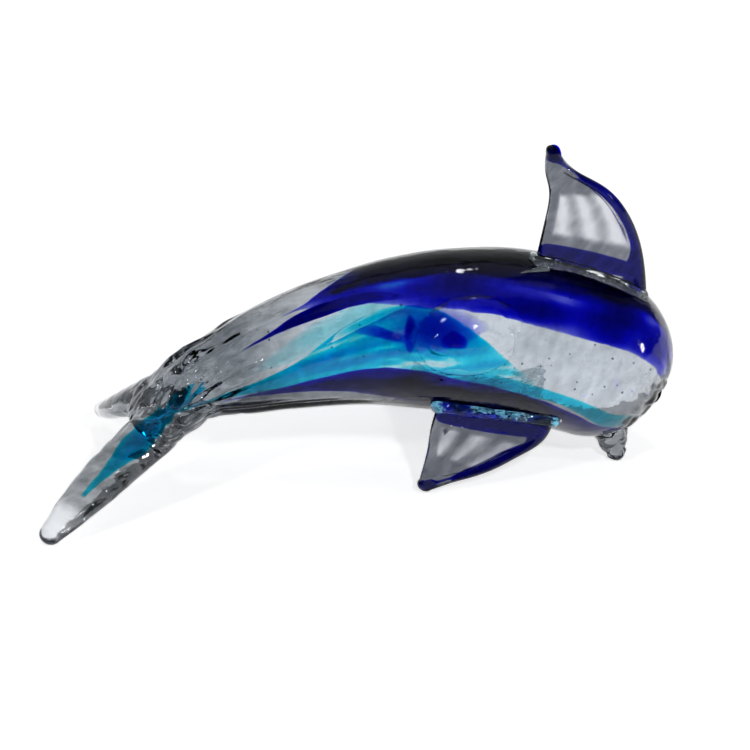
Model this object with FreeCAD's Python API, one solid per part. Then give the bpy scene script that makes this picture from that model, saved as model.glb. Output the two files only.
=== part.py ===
import FreeCAD, Part
import math
import os

# Leaping dolphin in cased, hand-worked crystal glass.
# Millimetres, +X towards the head, +Y towards the dolphin's left, +Z up.
# The figurine stands on the ground flats of its beak, both flippers and its right fluke.
# The origin is on the table, under the middle of the whole piece.

Vec = FreeCAD.Vector

# ---------------------------------------------------------------- driving dimensions
HEAD_RADIUS = 26.3            # round melon of the head
HEAD_CENTRE = Vec(68.5, 0.0, 31.3)
SHOULDER_RADIUS = 27.2        # thickest part of the body
TAIL_DOME = 6.0               # rounding between the two flukes
STRIP_SCALE = 0.83            # outside of the coloured strips, as a share of the body's radius
CORE_SCALE = 0.68             # outside of the clear core that the strips are laid on
STRIPE_GAP = 3.0              # clear glass between the side strips in front of the head

BEAK_TIP = Vec(74.7, -12.0, 0.0)
BEAK_RADIUS = 3.7
PAD_RADII = (21.7, 9.0, 13.5) # oval form behind the fire-polished pontil pad
PAD_TOP = 28.9                # highest point of the pad from the body axis
PAD_TILT = -25.5              # degrees about +X: the right flank, above the horizontal
PAD_AXIS_POINT = Vec(26.8, 0.0, 44.0)

FIN_THICKNESS = 4.4           # pressed blades
RIM_RADIUS = 2.3              # drawn rod round a fin's leading edge
BEAD_RADIUS = 2.9             # ball where that rod ends
FOOT_RADIUS = 4.4             # melted foot that welds a fin to the body
FOOT_END_RADIUS = 4.8         # its rounded ends

FLIPPER_SPLAY = {"right": 6.5, "left": 33.0}   # degrees away from the vertical
FLIPPER_REACH = 19.6          # root line of a flipper from the mid plane
FLIPPER_ROOT_HEIGHT = 25.0

FLUKE_STREAK_RADIUS = 2.2

# Body axis from the tail to the head: x, y, z, half width, half height.
BODY_STATIONS = [
    (-72.0, 0.0, 22.6, 11.0, 8.0),
    (-62.0, 0.0, 30.4, 13.6, 11.4),
    (-46.0, 0.0, 36.8, 15.6, 15.0),
    (-28.0, 0.0, 41.2, 18.4, 18.2),
    (-8.0, 0.0, 44.6, 21.2, 21.4),
    (12.0, 0.0, 45.3, 24.4, 24.6),
    (32.0, 0.0, 43.5, 26.4, 26.5),
    (50.0, 0.0, 39.3, SHOULDER_RADIUS, SHOULDER_RADIUS),
    (HEAD_CENTRE.x, HEAD_CENTRE.y, HEAD_CENTRE.z, HEAD_RADIUS, HEAD_RADIUS),
]

# Blade outlines and root lines in the fin's own plane: x along the body, height over the table.
DORSAL_ROOT = [(50.6, 66.6), (60.0, 64.2), (69.5, 60.0), (79.0, 55.0), (84.8, 51.2)]
DORSAL_LEADING_EDGE = [(83.6, 52.0), (82.6, 66.0), (77.8, 78.6), (70.0, 88.6), (61.6, 95.2), (57.6, 100.4),
                       (56.0, 103.8)]
DORSAL_TRAILING_EDGE = [(53.6, 102.6), (54.4, 91.5), (53.2, 82.0), (51.4, 73.0), (50.0, 66.0)]
FLIPPER_ROOT = [(16.2, 29.0), (53.0, 21.0)]
FLIPPER_LEADING_EDGE = [(52.6, 21.0), (48.8, 14.6), (41.4, 9.8), (34.6, 6.6), (26.6, 4.4), (18.4, 3.3),
                        (12.6, 2.2)]
FLIPPER_TRAILING_EDGE = [(11.4, 4.6), (12.2, 8.8), (13.2, 14.3), (14.2, 20.5), (16.2, 29.0)]

# Tail flukes from the root to the tip: x, y, z, half width, half thickness.
RIGHT_FLUKE_STATIONS = [
    (-60.0, -3.0, 30.0, 11.0, 9.0),
    (-76.7, -12.0, 19.4, 9.6, 6.4),
    (-92.7, -22.0, 11.0, 8.2, 4.8),
    (-107.2, -32.8, 3.0, 4.0, 3.4),
]
LEFT_FLUKE_STATIONS = [
    (-59.0, 4.0, 30.5, 11.0, 8.6),
    (-71.5, 17.0, 20.0, 9.8, 5.6),
    (-77.6, 27.5, 11.4, 7.0, 4.2),
    (-80.9, 35.8, 6.0, 3.6, 3.2),
]

SECTION_POINTS = 8
DOME_STEPS = (0.3, 0.55, 0.75, 0.89, 0.97)
UP = Vec(0, 0, 1)


# ---------------------------------------------------------------- section and loft helpers
def unit(vector):
    """The same direction at length one."""
    return vector * (1.0 / vector.Length)


def section(centre, tangent, half_width, half_height):
    """Closed elliptical wire square to the tangent, its width held level."""
    side = unit(tangent.cross(UP))
    rise = unit(side.cross(tangent))
    points = []
    for index in range(SECTION_POINTS):
        angle = 2 * math.pi * index / SECTION_POINTS
        across = side * (half_width * math.cos(angle))
        points.append(centre + across + rise * (half_height * math.sin(angle)))
    curve = Part.BSplineCurve()
    curve.interpolate(points, PeriodicFlag=True)
    return Part.Wire(curve.toShape())


def tangents(centres):
    """Direction of travel at each centre of a path."""
    last = len(centres) - 1
    return [unit(centres[min(i + 1, last)] - centres[max(i - 1, 0)]) for i in range(last + 1)]


def dome(centre, tangent, half_width, half_height, depth, forwards):
    """Shrinking sections that round an end off."""
    sections = []
    for step in DOME_STEPS:
        shrink = math.sqrt(1 - step * step)
        place = centre + tangent * (depth * step * (1 if forwards else -1))
        sections.append(section(place, tangent, half_width * shrink, half_height * shrink))
    return sections if forwards else sections[::-1]


def loft(stations):
    """Solid through elliptical stations, with flat ends."""
    centres = [Vec(*row[:3]) for row in stations]
    ways = tangents(centres)
    wires = [section(c, t, row[3], row[4]) for c, t, row in zip(centres, ways, stations)]
    return Part.makeLoft(wires, True, False)


def body_form(scale):
    """The body's own shape about its axis, domed at the tail and the head.

    Shapes inside it are scaled down across the axis and stop short of the tail.
    """
    stations = BODY_STATIONS if scale == 1 else BODY_STATIONS[1:]
    rows = [(x, y, z, w * scale, h * scale) for x, y, z, w, h in stations]
    centres = [Vec(*row[:3]) for row in rows]
    ways = tangents(centres)
    wires = [section(c, t, row[3], row[4]) for c, t, row in zip(centres, ways, rows)]
    tail = dome(centres[0], ways[0], *rows[0][3:], TAIL_DOME * scale, False)
    head = dome(centres[-1], ways[-1], *rows[-1][3:], HEAD_RADIUS * scale, True)
    return Part.makeLoft(tail + wires + head, True, False)


def rod(points, radius, start_ball, end_ball):
    """Drawn rod of one radius, with a ball melted on each end that has a radius."""
    shape = loft([(p.x, p.y, p.z, radius, radius) for p in points])
    for place, ball in ((points[0], start_ball), (points[-1], end_ball)):
        if ball:
            shape = shape.fuse(Part.makeSphere(ball, place))
    return shape


def ellipsoid(radii):
    """Ellipsoid about the origin, its axes along X, Y and Z."""
    stretch = FreeCAD.Matrix()
    stretch.scale(*radii)
    return Part.makeSphere(1.0).transformGeometry(stretch)


# ---------------------------------------------------------------- body: core, colour, casing
def side_prism(outline):
    """Block as wide as the body, with an outline drawn in the side view."""
    width = 4 * SHOULDER_RADIUS
    corners = [Vec(x, -width / 2, z) for x, z in outline]
    face = Part.Face(Part.makePolygon(corners + corners[:1]))
    return face.extrude(Vec(0, width, 0))


def axis_outline(low, high):
    """Side-view outline between two offsets of the body axis, given as (x, offset) runs."""
    axis = [(row[0], row[2]) for row in BODY_STATIONS]

    def height(x):
        for (x0, z0), (x1, z1) in zip(axis, axis[1:]):
            if x <= x1:
                return z0 + (z1 - z0) * (x - x0) / (x1 - x0)
        return axis[-1][1] - 0.62 * (x - axis[-1][0])

    return [(x, height(x) + dz) for x, dz in low] + [(x, height(x) + dz) for x, dz in reversed(high)]


def cobalt_overlay(layer):
    """Cobalt strip over the back: a point behind, the whole top of the head in front."""
    low = [(-52, 14), (-30, 12), (0, 8.5), (30, 8), (60, 6), (100, 6)]
    high = [(-52, 40), (-30, 60), (0, 60), (30, 60), (60, 60), (100, 60)]
    return layer.common(side_prism(axis_outline(low, high)))


def aqua_stripes(layer):
    """Turquoise strips along both flanks, as (right, left)."""
    low = [(-60, -8), (-40, -9), (-10, -11), (20, -14), (50, -17), (80, -17)]
    high = [(-60, -4), (-40, -3), (-10, -2.5), (20, -3), (50, -6), (80, -9)]
    band = layer.common(side_prism(axis_outline(low, high)))
    gap = Part.makeBox(400, STRIPE_GAP, 200, Vec(-200, -STRIPE_GAP / 2, -50))
    halves = sorted(band.cut(gap).Solids, key=lambda solid: solid.CenterOfMass.y)
    return halves[0], halves[-1]


def body_pieces():
    """Clear core, the coloured strips laid on it, and the clear casing over both."""
    outer = body_form(1)
    core = body_form(CORE_SCALE)
    layer = body_form(STRIP_SCALE).cut(core)
    cobalt = largest(cobalt_overlay(layer))
    right_stripe, left_stripe = aqua_stripes(layer)
    casing = outer.cut(core)
    for strip in (cobalt, right_stripe, left_stripe):
        casing = casing.cut(strip)
    pieces = {
        "clear_core": core,
        "cobalt_overlay": cobalt,
        "right_aqua_stripe": right_stripe,
        "left_aqua_stripe": left_stripe,
        "crystal_casing": largest(casing),
    }
    return pieces, outer


# ---------------------------------------------------------------- bits worked onto the body
def pontil_pad(outer):
    """Low oval dome where the pontil was cracked off and fire polished."""
    dome_shape = ellipsoid(PAD_RADII)
    dome_shape.rotate(Vec(0, 0, 0), Vec(1, 0, 0), PAD_TILT)
    tilt = math.radians(PAD_TILT)
    normal = Vec(0, -math.cos(tilt), -math.sin(tilt))
    dome_shape.translate(PAD_AXIS_POINT + normal * (PAD_TOP - PAD_RADII[1]))
    return dome_shape.cut(outer)


def beak(outer):
    """Short blunt beak, drawn down and to the right, with a ground flat to stand on."""
    root = HEAD_CENTRE + (BEAK_TIP - HEAD_CENTRE) * 0.45
    middle = HEAD_CENTRE + (BEAK_TIP - HEAD_CENTRE) * 0.72
    tip = BEAK_TIP + Vec(0, 0, BEAK_RADIUS * 0.8)
    rows = [(root.x, root.y, root.z, 8.0, 8.0), (middle.x, middle.y, middle.z, 6.4, 6.4),
            (tip.x, tip.y, tip.z, BEAK_RADIUS, BEAK_RADIUS)]
    return loft(rows).fuse(Part.makeSphere(BEAK_RADIUS * 1.06, tip)).cut(outer)


def fin_pieces(name, root, leading, trailing, to_space, outer):
    """Foot, rim and blade of one fin; to_space puts a point (x, height, thickness) in space."""
    front = [to_space(x, z, 0) for x, z in leading]
    weld = [to_space(x, z, 0) for x, z in root]
    rim = rod(front, RIM_RADIUS, 0, BEAD_RADIUS)
    blade = fin_blade(leading, trailing, to_space)
    foot = rod(weld, FOOT_RADIUS, FOOT_END_RADIUS, FOOT_END_RADIUS).cut(outer)
    rim = rim.cut([outer, foot])
    blade = blade.cut([outer, foot, rim])
    return {
        name + "_foot": largest(foot),
        name + "_cobalt_rim": largest(rim),
        name + "_blade": largest(blade),
    }


def fin_blade(leading, trailing, to_space):
    """Pressed plate inside the fin's outline, made at its full thickness."""
    half = FIN_THICKNESS / 2
    edges = []
    for run in (leading, trailing):
        curve = Part.BSplineCurve()
        curve.interpolate([to_space(x, z, -half) for x, z in run])
        edges.append(curve.toShape())
    bridge_top = Part.makeLine(to_space(*leading[-1], -half), to_space(*trailing[0], -half))
    bridge_root = Part.makeLine(to_space(*trailing[-1], -half), to_space(*leading[0], -half))
    wire = Part.Wire([edges[0], bridge_top, edges[1], bridge_root])
    through = to_space(0, 0, half) - to_space(0, 0, -half)
    return Part.Face(wire).extrude(through)


def largest(shape):
    """The one solid of a cut that is not a sliver."""
    return max(shape.Solids, key=lambda solid: solid.Volume)


def upright(x, z, thickness):
    """A point of the dorsal fin, which stands in the mid plane."""
    return Vec(x, thickness, z)


def splayed(side):
    """Placing function of a flipper: down from its root line, splayed outwards."""
    outward = -1 if side == "right" else 1
    angle = math.radians(FLIPPER_SPLAY[side])

    def place(x, z, thickness):
        drop = (FLIPPER_ROOT_HEIGHT - z) / math.cos(angle)
        reach = FLIPPER_REACH + drop * math.sin(angle) + thickness * math.cos(angle)
        return Vec(x, outward * reach, z + thickness * math.sin(angle))

    return place


# ---------------------------------------------------------------- tail
def fluke(stations):
    """One fluke, drawn to a melted round tip."""
    x, y, z, half_width, half_thickness = stations[-1]
    return loft(stations).fuse(Part.makeSphere((half_width + half_thickness) / 2, Vec(x, y, z)))


def fluke_pieces(outer):
    """Both flukes, pulled out and parted with shears, and the streak in the right one."""
    right = fluke(RIGHT_FLUKE_STATIONS).cut(outer)
    left = fluke(LEFT_FLUKE_STATIONS).cut([outer, right])
    rows = [(x, y, z, FLUKE_STREAK_RADIUS, FLUKE_STREAK_RADIUS * 0.7)
            for x, y, z, _, _ in RIGHT_FLUKE_STATIONS[1:]]
    streak = loft(rows).cut(outer)
    right = largest(right)
    return {
        "right_fluke": largest(right.cut(streak)),
        "left_fluke": largest(left),
        "aqua_fluke_streak": largest(streak.common(right)),
    }


# ---------------------------------------------------------------- assembly
def assemble():
    """Every piece, still placed by the dimensions above."""
    pieces, outer = body_pieces()
    pieces["pontil_pad"] = largest(pontil_pad(outer))
    pieces["beak"] = largest(beak(outer))
    pieces.update(fin_pieces("dorsal_fin", DORSAL_ROOT, DORSAL_LEADING_EDGE,
                             DORSAL_TRAILING_EDGE, upright, outer))
    for side in ("right", "left"):
        pieces.update(fin_pieces(side + "_flipper", FLIPPER_ROOT, FLIPPER_LEADING_EDGE,
                                 FLIPPER_TRAILING_EDGE, splayed(side), outer))
    pieces.update(fluke_pieces(outer))
    return pieces


def ground(pieces):
    """Grinds the resting tips flat at table height."""
    below = Part.makeBox(400, 300, 60, Vec(-200, -150, -60))
    for name in pieces:
        if pieces[name].BoundBox.ZMin < 0:
            pieces[name] = largest(pieces[name].cut(below))


def centred(pieces):
    """Moves the assembly so that the origin lies under the middle of its box."""
    box = Part.makeCompound(list(pieces.values())).optimalBoundingBox()
    shift = Vec(-box.Center.x, -box.Center.y, 0)
    for shape in pieces.values():
        shape.translate(shift)
    return shift


def main():
    pieces = assemble()
    ground(pieces)
    shift = centred(pieces)
    os.makedirs("parts", exist_ok=True)
    for name, shape in sorted(pieces.items()):
        shape.exportStep("parts/" + name + ".step")
        solids = len(shape.Solids)
        print(f"{name:26s} solids {solids}  volume {shape.Volume:9.1f}  valid {shape.isValid()}")
    print("moved by", shift)


main()
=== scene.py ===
# %% [markdown]
# # A leaping dolphin in cased crystal glass
# The real piece is made hot. A clear gather is rolled over strips of cobalt and turquoise
# glass, dipped again in clear crystal, and bent. Fins, flukes and beak are bits of glass
# welded on and pulled. This lesson builds each of those bits as its own closed mesh, in
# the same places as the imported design, and lets the light find its way through them.

# %% Load the fixed frame
import math

import bpy
import numpy as np
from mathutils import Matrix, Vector, noise
from mathutils.bvhtree import BVHTree


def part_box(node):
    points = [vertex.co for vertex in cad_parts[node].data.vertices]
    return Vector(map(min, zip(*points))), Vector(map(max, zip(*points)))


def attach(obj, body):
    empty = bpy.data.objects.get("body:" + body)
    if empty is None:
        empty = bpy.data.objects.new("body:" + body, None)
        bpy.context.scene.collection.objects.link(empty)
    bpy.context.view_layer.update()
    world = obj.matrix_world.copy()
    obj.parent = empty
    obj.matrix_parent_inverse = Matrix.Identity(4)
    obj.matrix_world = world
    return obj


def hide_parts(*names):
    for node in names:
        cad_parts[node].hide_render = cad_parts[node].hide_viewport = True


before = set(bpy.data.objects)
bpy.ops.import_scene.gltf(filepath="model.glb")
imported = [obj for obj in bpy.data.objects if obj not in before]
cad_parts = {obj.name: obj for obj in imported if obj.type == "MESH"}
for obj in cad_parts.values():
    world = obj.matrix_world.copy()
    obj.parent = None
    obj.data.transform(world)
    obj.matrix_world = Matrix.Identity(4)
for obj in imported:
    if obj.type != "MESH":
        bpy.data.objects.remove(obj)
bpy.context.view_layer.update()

MM = 0.001

# %% [markdown]
# ## Where things are
# All sizes below are in millimetres from one point on the table. It lies under the body's
# middle plane, a head's length behind the nose, and both come from the casing's own box.
# Working from that point keeps every number small and easy to check with a ruler.

# %% The point that every size is measured from
HEAD_RADIUS = 26.3
HEAD_CENTRE = np.array([68.5, 0.0, 31.3])
casing_low, casing_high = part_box("crystal_casing")
origin = np.array([
    casing_high.x / MM - HEAD_CENTRE[0] - HEAD_RADIUS + 0.05,
    (casing_low.y + casing_high.y) / 2 / MM,
    0.0,
])
UP = np.array([0.0, 0.0, 1.0])
print("working origin in the row frame (mm):", origin.round(2))

# %% [markdown]
# ## Forms
# A form is a closed skin: an array of points and a list of faces. Nearly every bit of hot
# glass is a rod that was pulled or squeezed, so one helper that skins a stack of rings
# makes most of them. Its ends are closed by a point, and its faces look outwards.

# %% Skin a stack of rings
def skin(rings):
    """Closed form through rings of points, shaped (rings, points around, 3)."""
    count, around = rings.shape[:2]
    points = np.vstack([rings.reshape(-1, 3), rings[0].mean(0), rings[-1].mean(0)])
    faces = []
    for i in range(count - 1):
        for j in range(around):
            k = (j + 1) % around
            faces.append((i * around + j, i * around + k, (i + 1) * around + k, (i + 1) * around + j))
    start, end, last = count * around, count * around + 1, (count - 1) * around
    for j in range(around):
        k = (j + 1) % around
        faces.append((start, k, j))
        faces.append((end, last + j, last + k))
    return outwards(points, faces)


def outwards(points, faces):
    """The same form, turned inside out if its faces look inwards."""
    volume = 0.0
    for face in faces:
        for a, b in zip(face[1:], face[2:]):
            volume += np.dot(points[face[0]], np.cross(points[a], points[b]))
    if volume < 0:
        faces = [face[::-1] for face in faces]
    return points, faces


def joined(*forms):
    """Several forms as one."""
    points, faces, total = [], [], 0
    for part_points, part_faces in forms:
        points.append(part_points)
        faces += [tuple(index + total for index in face) for face in part_faces]
        total += len(part_points)
    return np.vstack(points), faces

# %% [markdown]
# ## Curves through stations
# Hot glass has no corners, so a bit of it is given by a few stations, and a natural cubic
# runs through them. A Blender curve would do for the line alone, but widths and depths
# need the same sums, so they are done on plain rows of numbers.

# %% Smooth curves through a few stations
def curve(rows, count):
    """Natural cubic curve through rows of numbers, sampled evenly along its length."""
    rows = np.array(rows, float)
    knots = np.r_[0, np.cumsum(np.linalg.norm(np.diff(rows[:, :3], axis=0), axis=1))]
    gaps = np.diff(knots)[:, None]
    slopes = np.diff(rows, axis=0) / gaps
    system = np.eye(len(rows))
    bends = np.zeros_like(rows)
    for i in range(1, len(rows) - 1):
        system[i, i - 1:i + 2] = gaps[i - 1, 0], 2 * (gaps[i - 1, 0] + gaps[i, 0]), gaps[i, 0]
        bends[i] = 6 * (slopes[i] - slopes[i - 1])
    bends = np.linalg.solve(system, bends)
    places = np.linspace(0, knots[-1], count)
    span = np.clip(np.searchsorted(knots, places, side="right") - 1, 0, len(rows) - 2)
    gap = gaps[span]
    near = places[:, None] - knots[span][:, None]
    far = gap - near
    curved = (bends[span] * far ** 3 + bends[span + 1] * near ** 3) / (6 * gap)
    straight = (rows[span] / gap - bends[span] * gap / 6) * far
    return curved + straight + (rows[span + 1] / gap - bends[span + 1] * gap / 6) * near


def directions(centres):
    """Unit direction of travel at each point of a path."""
    ways = np.gradient(centres, axis=0)
    return ways / np.linalg.norm(ways, axis=1)[:, None]


def across(ways):
    """Level and rising unit vectors square to each direction."""
    side = np.cross(ways, UP)
    side /= np.linalg.norm(side, axis=1)[:, None]
    return side, np.cross(side, ways)


def pulled(rows, count=60, around=40, start=0.6, end=1.0):
    """A pulled bit of glass: x, y, z, half width, half height stations with rounded ends."""
    line = curve(rows, count)
    ways = directions(line[:, :3])
    side, rise = across(ways)
    angle = np.linspace(0, 2 * np.pi, around, endpoint=False)[None, :, None]
    rings = []
    for i, turn in capped(count):
        reach = (start if i == 0 else end) * min(line[i, 3], line[i, 4])
        shrink, push = math.cos(turn), math.sin(turn)
        middle = line[i, :3] + ways[i] * reach * push
        ring = middle + side[i] * line[i, 3] * shrink * np.cos(angle[0])
        rings.append(ring + rise[i] * line[i, 4] * shrink * np.sin(angle[0]))
    return np.array(rings)


def capped(count, steps=7):
    """Ring numbers with extra shrinking rings at both ends, as (ring, turn angle)."""
    turns = np.linspace(math.radians(82), 0, steps, endpoint=False)
    return [(0, -t) for t in turns] + [(i, 0.0) for i in range(count)] + [(count - 1, t) for t in turns[::-1]]

# %% [markdown]
# ## The body's own shape
# The body is a bent gather, thick at the shoulders and round at the head. It could be a
# subdivided cage, but a formula is better here: the colour strips lie inside the glass at
# a share of the same radius, so they need the same shape at a smaller scale. A place on it
# is a length along the axis and an angle round it: 0 is the right flank, 90 the back.

# %% The bent gather as a formula
BODY_STATIONS = [
    (-72.0, 0.0, 22.6, 11.0, 8.0),
    (-62.0, 0.0, 30.4, 13.6, 11.4),
    (-46.0, 0.0, 36.8, 15.6, 15.0),
    (-28.0, 0.0, 41.2, 18.4, 18.2),
    (-8.0, 0.0, 44.6, 21.2, 21.4),
    (12.0, 0.0, 45.3, 24.4, 24.6),
    (32.0, 0.0, 43.5, 26.4, 26.5),
    (50.0, 0.0, 39.3, 27.2, 27.2),
    (*HEAD_CENTRE, HEAD_RADIUS, HEAD_RADIUS),
]
TAIL_DOME = 5.8


class Gather:
    """The body's shape, which can be asked for points at any depth."""

    def __init__(self, stations, count=160):
        line = curve(stations, count)
        ways = directions(line[:, :3])
        side, rise = across(ways)
        steps = np.diff(line[:, :3], axis=0)
        travel = np.r_[0, np.cumsum(np.linalg.norm(steps, axis=1))]
        self.axis_length = travel[-1]
        turns = np.linspace(0.02, math.pi / 2 * 0.985, 26)
        rows = []
        for turn in turns[::-1]:
            rows.append(self.row(line[0], ways[0], side[0], rise[0], -TAIL_DOME, turn, -TAIL_DOME * turn))
        for i in range(count):
            rows.append(self.row(line[i], ways[i], side[i], rise[i], 0, 0, travel[i]))
        for turn in turns:
            place = self.axis_length + HEAD_RADIUS * turn
            rows.append(self.row(line[-1], ways[-1], side[-1], rise[-1], HEAD_RADIUS, turn, place))
        self.rows = np.array(rows)
        self.first, self.last = self.rows[0, 0], self.rows[-1, 0]

    @staticmethod
    def row(station, way, side, rise, dome, turn, place):
        """Place, anchor, forward push, side reach and rise reach of one ring."""
        shrink = math.cos(turn)
        push = way * dome * math.sin(turn)
        return np.r_[place, station[:3], push, side * station[3] * shrink, rise * station[4] * shrink]

    def at(self, place, angle, scale):
        """Points at lengths along the axis, angles round it (radians) and shares of the radius."""
        place, angle, scale = np.broadcast_arrays(place, angle, scale)
        columns = [np.interp(place, self.rows[:, 0], self.rows[:, k]) for k in range(1, 13)]
        anchor, push, side, rise = (np.stack(columns[k:k + 3], -1) for k in (0, 3, 6, 9))
        turned = side * np.cos(angle)[..., None] + rise * np.sin(angle)[..., None]
        return anchor + (push + turned) * scale[..., None]


body = Gather(BODY_STATIONS)
print("axis length (mm):", round(body.axis_length, 1), "ends:", round(body.first, 1), round(body.last, 1))

# %% [markdown]
# ## Signs of handwork
# Jacks and pincers leave facets and folds in the tail, where the glass was stiff when it
# was pulled. Noise alone looks like orange peel, so the marks here are cells with sharp
# valleys, as pincers leave them, on top of a slow unevenness that all hot work has.

# %% Hand marks as a push along a direction
def slow_wave(points, size, seed):
    """Smooth unevenness between -1 and 1, with bumps of about that size."""
    shift = Vector((seed * 7.31, seed * 3.17, seed * 5.53))
    return np.array([noise.noise(Vector(p) / size + shift) for p in points])


def pincer_cells(points, size, seed):
    """0 in the folds between cells and up to about 1 inside them."""
    shift = Vector((seed * 2.91, seed * 6.13, seed * 4.37))
    values = []
    for p in points:
        near, second = noise.voronoi(Vector(p) / size + shift)[0][:2]
        values.append(min(1.0, (second - near) * 1.6))
    return np.array(values)


def ramp(value, low, high):
    """Smooth step from 0 at low to 1 at high."""
    share = np.clip((value - low) / (high - low), 0, 1)
    return share * share * (3 - 2 * share)


def ring_push(rings, amount):
    """Moves each ring point towards or away from its ring's middle by an amount in mm."""
    middle = rings.mean(1, keepdims=True)
    away = rings - middle
    length = np.linalg.norm(away, axis=2, keepdims=True)
    return rings + away / np.maximum(length, 0.4) * amount[..., None] * np.minimum(length / 3, 1)

# %% [markdown]
# ## Glass as a material
# Real glass is hardly seen itself: one sees what it bends, mirrors and soaks up. A material
# could be wired node by node, but then a sum of three noises takes a page. Here a socket
# is wrapped in a small class, so that a sum of sockets is written as a sum.

# %% Sums of sockets, and one way to add a node
class Signal:
    """An output socket of a finish, which can be used in sums."""

    def __init__(self, finish, socket):
        self.finish = finish
        self.socket = socket

    def math(self, operation, left, right):
        return self.finish.add("ShaderNodeMath", {"operation": operation}, {0: left, 1: right})

    def __add__(self, other):
        return self.math("ADD", self, other)

    def __sub__(self, other):
        return self.math("SUBTRACT", self, other)

    def __rsub__(self, other):
        return self.math("SUBTRACT", other, self)

    def __mul__(self, other):
        return self.math("MULTIPLY", self, other)

    __radd__ = __add__
    __rmul__ = __mul__


class Finish:
    """One material and its nodes."""

    def __init__(self, name):
        self.material = bpy.data.materials.new(name)
        self.material.use_nodes = True
        self.tree = self.material.node_tree
        self.tree.nodes.clear()
        self.output = self.tree.nodes.new("ShaderNodeOutputMaterial")

    def add(self, kind, settings=None, inputs=None, output=0):
        """Adds a node: its settings first, then the values or links of its sockets."""
        node = self.tree.nodes.new(kind)
        for key, value in (settings or {}).items():
            setattr(node, key, value)
        for key, value in (inputs or {}).items():
            self.feed(node.inputs[key], value)
        return Signal(self, node.outputs[output])

    def feed(self, socket, value):
        """Links a signal to a socket, or sets the socket's own value."""
        if isinstance(value, Signal):
            self.tree.links.new(value.socket, socket)
        else:
            socket.default_value = value

    def place(self):
        """The row frame's coordinates, so that patterns stay put on the glass."""
        return self.add("ShaderNodeTexCoord", output="Object")

    def cloud(self, size, detail=3.0, stretch=(1, 1, 1), turn=(0, 0, 0)):
        """Soft noise with patches of about that size in metres, drawn out by stretch and turned."""
        turned = self.add("ShaderNodeMapping", {}, {"Vector": self.place(), "Rotation": turn})
        scaled = self.add("ShaderNodeMapping", {}, {"Vector": turned, "Scale": stretch})
        inputs = {"Vector": scaled, "Scale": 1 / size, "Detail": detail}
        return self.add("ShaderNodeTexNoise", {}, inputs, "Fac")

    def blend(self, share, first, second):
        """A colour between two colours."""
        inputs = {"Factor": share, 6: (*first, 1.0), 7: (*second, 1.0)}
        return self.add("ShaderNodeMix", {"data_type": "RGBA"}, inputs, 2)

# %% [markdown]
# ## Recipes for clear glass, coloured glass and seams
# Clear crystal bends light at its outer skin. Drawn, pressed and melted glass differ only
# in waviness and tone, so one recipe serves them all. Two traits painted on the points,
# shade and frost, say where a piece is greyer or duller; the grey is painted shade, standing
# in for the darker surroundings that clear glass shows. A strip under the skin is glass in
# glass: its index is 1, it bends nothing, and its colour comes from a volume, deeper where
# the strip is thicker. The mirror tint is low, because a glowing table veils the colours.

# %% Three recipes
def clear_crystal(name, pale, grey, wave=0.25, fine=0.18, clear=1.0):
    """Clear glass: greyer where shade is painted, dull where frost is, with striae and a hand-made skin."""
    finish = Finish(name)
    shade = finish.add("ShaderNodeAttribute", {"attribute_name": "shade"}, output="Fac")
    frost = finish.add("ShaderNodeAttribute", {"attribute_name": "frost"}, output="Fac")
    striae = finish.cloud(0.0030, 3.0, (0.25, 1.0, 0.9), (0, 0.9, 0.3))
    share = shade + (striae - 0.5) * 1.1 + (finish.cloud(0.012, 4.0, (0.45, 1, 1)) - 0.5) * 0.8
    ripple = finish.cloud(0.006, 2.0, (0.6, 1, 1)) + finish.cloud(0.0016, 2.0) * fine + striae * 0.12
    bump = finish.add("ShaderNodeBump", {}, {"Strength": wave, "Distance": 0.0011, "Height": ripple})
    surface = finish.add("ShaderNodeBsdfPrincipled", {}, {
        # painted shade: the blend towards grey stands in for the darker surroundings seen through clear glass
        "Base Color": finish.blend(share, pale, grey),
        "Roughness": finish.cloud(0.009) * 0.04 + frost * 0.34,
        "IOR": 1.5,
        "Transmission Weight": clear,
        "Specular Tint": (0.35, 0.36, 0.38, 1.0),
        "Normal": bump,
    })
    finish.feed(finish.output.inputs["Surface"], surface)
    return finish.material


def glass_in_glass(name, soak, density, pale):
    """A strip under the skin: bends nothing, soaks light up by its thickness."""
    finish = Finish(name)
    surface = finish.add("ShaderNodeBsdfPrincipled", {}, {
        "Base Color": finish.blend(finish.cloud(0.005, 3.0, (0.3, 1, 1)), pale, (1.0, 1.0, 1.0)),
        "Roughness": 0.0,
        "IOR": 1.0,
        "Transmission Weight": 1.0,
    })
    volume = finish.add("ShaderNodeVolumeAbsorption", {}, {"Color": (*soak, 1.0), "Density": density})
    finish.feed(finish.output.inputs["Surface"], surface)
    finish.feed(finish.output.inputs["Volume"], volume)
    return finish.material


def fused_seam():
    """Where two hot bits became one piece of glass: light goes straight on."""
    finish = Finish("fused_seam")
    finish.feed(finish.output.inputs["Surface"], finish.add("ShaderNodeBsdfTransparent"))
    return finish.material
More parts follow.
